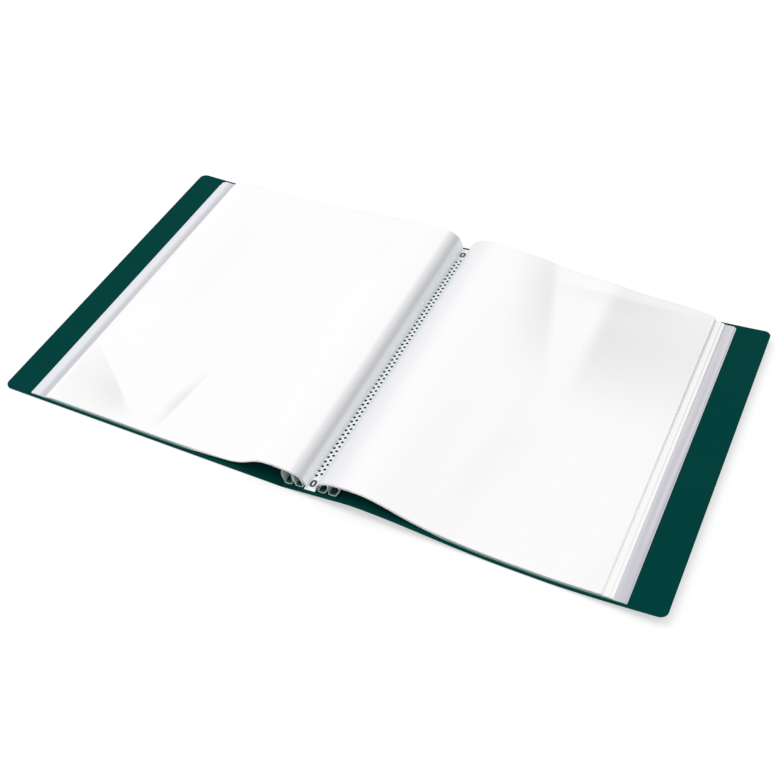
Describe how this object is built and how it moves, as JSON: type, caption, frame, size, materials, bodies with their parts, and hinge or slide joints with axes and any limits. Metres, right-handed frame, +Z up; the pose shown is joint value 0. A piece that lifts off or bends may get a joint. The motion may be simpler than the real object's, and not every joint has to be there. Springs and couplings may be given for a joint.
{
  "type": "clear-pocket stamp album",
  "caption": "Open clear-pocket album: flexible sheet cover with two creases, and welded film pockets on both sides of the spine, open at the top edge",
  "frame": {"origin": "On the table under the middle of the open album: the centre of the bounding box's bottom face", "axes": "+X runs across the open album from the front cover to the back cover, +Y along the spine towards the pocket mouths, +Z up from the table"},
  "size_m": [0.5376, 0.31, 0.0226],
  "materials": {
    "cover": "finely grained green polypropylene sheet",
    "weld": "films welded together, white and slightly translucent",
    "root": "thin clear film that looks white in layers",
    "film": "thin clear film that looks white in layers"
  },
  "bodies": {
    "spine": {"spine_panel": "cover", "weld_1": "weld", "weld_2": "weld", "weld_3": "weld", "weld_4": "weld", "weld_5": "weld"},
    "front_cover": {"front_cover": "cover", "front_hinge": "cover"},
    "back_cover": {"back_cover": "cover", "back_hinge": "cover"},
    "front_pocket_1": {"front_1_root": "root", "front_1_back_film": "film", "front_1_front_film": "film"},
    "front_pocket_2": {"front_2_root": "root", "front_2_back_film": "film", "front_2_front_film": "film"},
    "front_pocket_3": {"front_3_root": "root", "front_3_back_film": "film", "front_3_front_film": "film"},
    "front_pocket_4": {"front_4_root": "root", "front_4_back_film": "film", "front_4_front_film": "film"},
    "front_pocket_5": {"front_5_root": "root", "front_5_back_film": "film", "front_5_front_film": "film"},
    "front_pocket_6": {"front_6_root": "root", "front_6_back_film": "film", "front_6_front_film": "film"},
    "front_pocket_7": {"front_7_root": "root", "front_7_back_film": "film", "front_7_front_film": "film"},
    "back_pocket_1": {"back_1_root": "root", "back_1_back_film": "film", "back_1_front_film": "film"},
    "back_pocket_2": {"back_2_root": "root", "back_2_back_film": "film", "back_2_front_film": "film"},
    "back_pocket_3": {"back_3_root": "root", "back_3_back_film": "film", "back_3_front_film": "film"},
    "back_pocket_4": {"back_4_root": "root", "back_4_back_film": "film", "back_4_front_film": "film"},
    "back_pocket_5": {"back_5_root": "root", "back_5_back_film": "film", "back_5_front_film": "film"},
    "back_pocket_6": {"back_6_root": "root", "back_6_back_film": "film", "back_6_front_film": "film"},
    "back_pocket_7": {"back_7_root": "root", "back_7_back_film": "film", "back_7_front_film": "film"}
  },
  "joints": [
    {"name": "front_cover_fold", "type": "hinge", "parent": "spine", "child": "front_cover", "pos_m": [-0.023, 0, 0.00017], "axis": [0, -1, 0], "range_deg": [-90, 0], "deforming": ["front_hinge"]},
    {"name": "back_cover_fold", "type": "hinge", "parent": "spine", "child": "back_cover", "pos_m": [0.023, 0, 0.00542], "axis": [0, 1, 0], "range_deg": [-90, 0], "deforming": ["back_hinge"]},
    {"name": "front_pocket_1_fold", "type": "hinge", "parent": "spine", "child": "front_pocket_1", "pos_m": [-0.0195, 0, 0.00105], "axis": [0, -1, 0], "range_deg": [-90, 0], "deforming": ["front_1_root"]},
    {"name": "front_pocket_2_fold", "type": "hinge", "parent": "spine", "child": "front_pocket_2", "pos_m": [-0.0176, 0, 0.00265], "axis": [0, -1, 0], "range_deg": [-90, 0], "deforming": ["front_2_root"]},
    {"name": "front_pocket_3_fold", "type": "hinge", "parent": "spine", "child": "front_pocket_3", "pos_m": [-0.0157, 0, 0.00425], "axis": [0, -1, 0], "range_deg": [-90, 0], "deforming": ["front_3_root"]},
    {"name": "front_pocket_4_fold", "type": "hinge", "parent": "spine", "child": "front_pocket_4", "pos_m": [-0.0138, 0, 0.00585], "axis": [0, -1, 0], "range_deg": [-90, 0], "deforming": ["front_4_root"]},
    {"name": "front_pocket_5_fold", "type": "hinge", "parent": "spine", "child": "front_pocket_5", "pos_m": [-0.0119, 0, 0.00745], "axis": [0, -1, 0], "range_deg": [-90, 0], "deforming": ["front_5_root"]},
    {"name": "front_pocket_6_fold", "type": "hinge", "parent": "spine", "child": "front_pocket_6", "pos_m": [-0.01, 0, 0.00905], "axis": [0, -1, 0], "range_deg": [-90, 0], "deforming": ["front_6_root"]},
    {"name": "front_pocket_7_turn", "type": "hinge", "parent": "front_pocket_6", "child": "front_pocket_7", "pos_m": [0, -0.151, 0.0065], "axis": [0, 0.9996, 0.0284], "range_deg": [0, 179.8], "deforming": ["front_7_root"]},
    {"name": "back_pocket_1_fold", "type": "hinge", "parent": "spine", "child": "back_pocket_1", "pos_m": [0.0195, 0, 0.00352], "axis": [0, 1, 0], "range_deg": [-90, 0], "deforming": ["back_1_root"]},
    {"name": "back_pocket_2_fold", "type": "hinge", "parent": "spine", "child": "back_pocket_2", "pos_m": [0.0176, 0, 0.00513], "axis": [0, 1, 0], "range_deg": [-90, 0], "deforming": ["back_2_root"]},
    {"name": "back_pocket_3_fold", "type": "hinge", "parent": "spine", "child": "back_pocket_3", "pos_m": [0.0157, 0, 0.00673], "axis": [0, 1, 0], "range_deg": [-90, 0], "deforming": ["back_3_root"]},
    {"name": "back_pocket_4_fold", "type": "hinge", "parent": "spine", "child": "back_pocket_4", "pos_m": [0.0138, 0, 0.00833], "axis": [0, 1, 0], "range_deg": [-90, 0], "deforming": ["back_4_root"]},
    {"name": "back_pocket_5_fold", "type": "hinge", "parent": "spine", "child": "back_pocket_5", "pos_m": [0.0119, 0, 0.00992], "axis": [0, 1, 0], "range_deg": [-90, 0], "deforming": ["back_5_root"]},
    {"name": "back_pocket_6_fold", "type": "hinge", "parent": "spine", "child": "back_pocket_6", "pos_m": [0.01, 0, 0.01153], "axis": [0, 1, 0], "range_deg": [-90, 0], "deforming": ["back_6_root"]},
    {"name": "back_pocket_7_turn", "type": "hinge", "parent": "back_pocket_6", "child": "back_pocket_7", "pos_m": [0, -0.151, 0.0065], "axis": [0, -0.9996, -0.0284], "range_deg": [0, 179.8], "deforming": ["back_7_root"]}
  ],
  "couplings": [
    {"joint": "front_pocket_1_fold", "follows": "front_cover_fold", "ratio": 1},
    {"joint": "front_pocket_2_fold", "follows": "front_cover_fold", "ratio": 1},
    {"joint": "front_pocket_3_fold", "follows": "front_cover_fold", "ratio": 1},
    {"joint": "front_pocket_4_fold", "follows": "front_cover_fold", "ratio": 1},
    {"joint": "front_pocket_5_fold", "follows": "front_cover_fold", "ratio": 1},
    {"joint": "front_pocket_6_fold", "follows": "front_cover_fold", "ratio": 1},
    {"joint": "back_pocket_1_fold", "follows": "back_cover_fold", "ratio": 1},
    {"joint": "back_pocket_2_fold", "follows": "back_cover_fold", "ratio": 1},
    {"joint": "back_pocket_3_fold", "follows": "back_cover_fold", "ratio": 1},
    {"joint": "back_pocket_4_fold", "follows": "back_cover_fold", "ratio": 1},
    {"joint": "back_pocket_5_fold", "follows": "back_cover_fold", "ratio": 1},
    {"joint": "back_pocket_6_fold", "follows": "back_cover_fold", "ratio": 1}
  ]
}
